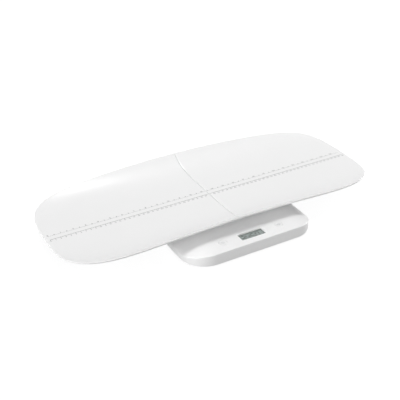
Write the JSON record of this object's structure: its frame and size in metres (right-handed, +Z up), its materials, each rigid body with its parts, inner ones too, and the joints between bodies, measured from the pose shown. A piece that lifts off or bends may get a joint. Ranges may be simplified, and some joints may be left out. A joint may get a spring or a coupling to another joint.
{
  "type": "digital baby weighing scale",
  "caption": "Low electronic base with a display and press keys, carrying a long shallow curved tray split across its middle for weighing an infant.",
  "frame": {"origin": "on the resting plane, under the middle of the bounding box", "axes": "+X along the tray, +Y from the display towards the back, +Z up"},
  "size_m": [0.6972, 0.3373, 0.0561],
  "materials": {
    "tray_white_abs": "satin white moulded ABS",
    "white_abs": "satin white moulded ABS",
    "floor_white_abs": "matt white moulded ABS",
    "key_white_abs": "satin white moulded ABS",
    "clear_acrylic": "clear polished acrylic",
    "display_glass": "grey-green liquid crystal panel",
    "black_plastic": "black moulded plastic",
    "ivory_nylon": "natural nylon",
    "board_laminate": "green solder mask on laminate",
    "black_epoxy": "glossy black epoxy",
    "zinc_steel": "zinc-plated steel",
    "nickel_strip": "nickel-plated steel",
    "battery_can": "plain dark sleeve on a steel can",
    "foot_nylon": "grey moulded nylon",
    "foot_rubber": "grey soft rubber",
    "contact_rubber": "conductive rubber",
    "grey_cable_jacket": "grey cable jacket",
    "red_lead_jacket": "red wire jacket"
  },
  "bodies": {
    "base": {"top_cover": "white_abs", "bottom_cover": "floor_white_abs", "battery_1": "battery_can", "battery_spring_1": "nickel_strip", "battery_2": "battery_can", "battery_spring_2": "nickel_strip", "battery_3": "battery_can", "battery_spring_3": "nickel_strip", "battery_contact_minus": "nickel_strip", "battery_contact_plus": "nickel_strip", "battery_lead_minus": "grey_cable_jacket", "battery_lead_plus": "red_lead_jacket", "display_window": "clear_acrylic", "display_panel": "display_glass", "display_frame": "black_plastic", "display_strip_front": "contact_rubber", "display_strip_back": "contact_rubber", "circuit_board": "board_laminate", "control_chip": "black_epoxy", "beeper": "black_plastic", "cable_plug_left": "ivory_nylon", "left_switch": "black_plastic", "cable_plug_right": "ivory_nylon", "right_switch": "black_plastic", "unit_switch": "black_plastic", "unit_switch_board": "board_laminate", "unit_switch_lead": "grey_cable_jacket", "load_cell_front_left": "zinc_steel", "foot_disc_front_left": "foot_nylon", "foot_pad_front_left": "foot_rubber", "load_cell_cable_front_left": "grey_cable_jacket", "load_cell_front_right": "zinc_steel", "foot_disc_front_right": "foot_nylon", "foot_pad_front_right": "foot_rubber", "load_cell_cable_front_right": "grey_cable_jacket", "load_cell_back_left": "zinc_steel", "foot_disc_back_left": "foot_nylon", "foot_pad_back_left": "foot_rubber", "load_cell_cable_back_left": "grey_cable_jacket", "load_cell_back_right": "zinc_steel", "foot_disc_back_right": "foot_nylon", "foot_pad_back_right": "foot_rubber", "load_cell_cable_back_right": "grey_cable_jacket", "floor_screw_front_left": "zinc_steel", "floor_screw_front_right": "zinc_steel", "floor_screw_middle_left": "zinc_steel", "floor_screw_middle_right": "zinc_steel", "floor_screw_back_left": "zinc_steel", "floor_screw_back_right": "zinc_steel"},
    "tray_left_half": {"tray_left": "tray_white_abs"},
    "tray_right_half": {"tray_right": "tray_white_abs"},
    "left_key": {"left_key": "key_white_abs", "left_switch_button": "ivory_nylon"},
    "right_key": {"right_key": "key_white_abs", "right_switch_button": "ivory_nylon"},
    "unit_button": {"unit_button": "key_white_abs", "unit_switch_button": "ivory_nylon"},
    "battery_door": {"battery_door": "floor_white_abs"}
  },
  "joints": [
    {"name": "tray_left_lift", "type": "slide", "parent": "base", "child": "tray_left_half", "axis": [0, 0, 1], "range_m": [0, 0.04]},
    {"name": "tray_right_lift", "type": "slide", "parent": "base", "child": "tray_right_half", "axis": [0, 0, 1], "range_m": [0, 0.04]},
    {"name": "left_key_press", "type": "slide", "parent": "base", "child": "left_key", "axis": [0, 0, -1], "range_m": [0, 0.0005], "stiffness_N_per_m": 800, "springref_m": -0.0005},
    {"name": "right_key_press", "type": "slide", "parent": "base", "child": "right_key", "axis": [0, 0, -1], "range_m": [0, 0.0005], "stiffness_N_per_m": 800, "springref_m": -0.0005},
    {"name": "unit_button_press", "type": "slide", "parent": "base", "child": "unit_button", "axis": [0, 0, 1], "range_m": [0, 0.0005], "stiffness_N_per_m": 800, "springref_m": -0.0005},
    {"name": "battery_door_hinge", "type": "hinge", "parent": "base", "child": "battery_door", "pos_m": [0, 0.0947, 0.0061], "axis": [1, 0, 0], "range_deg": [0, 80]}
  ]
}
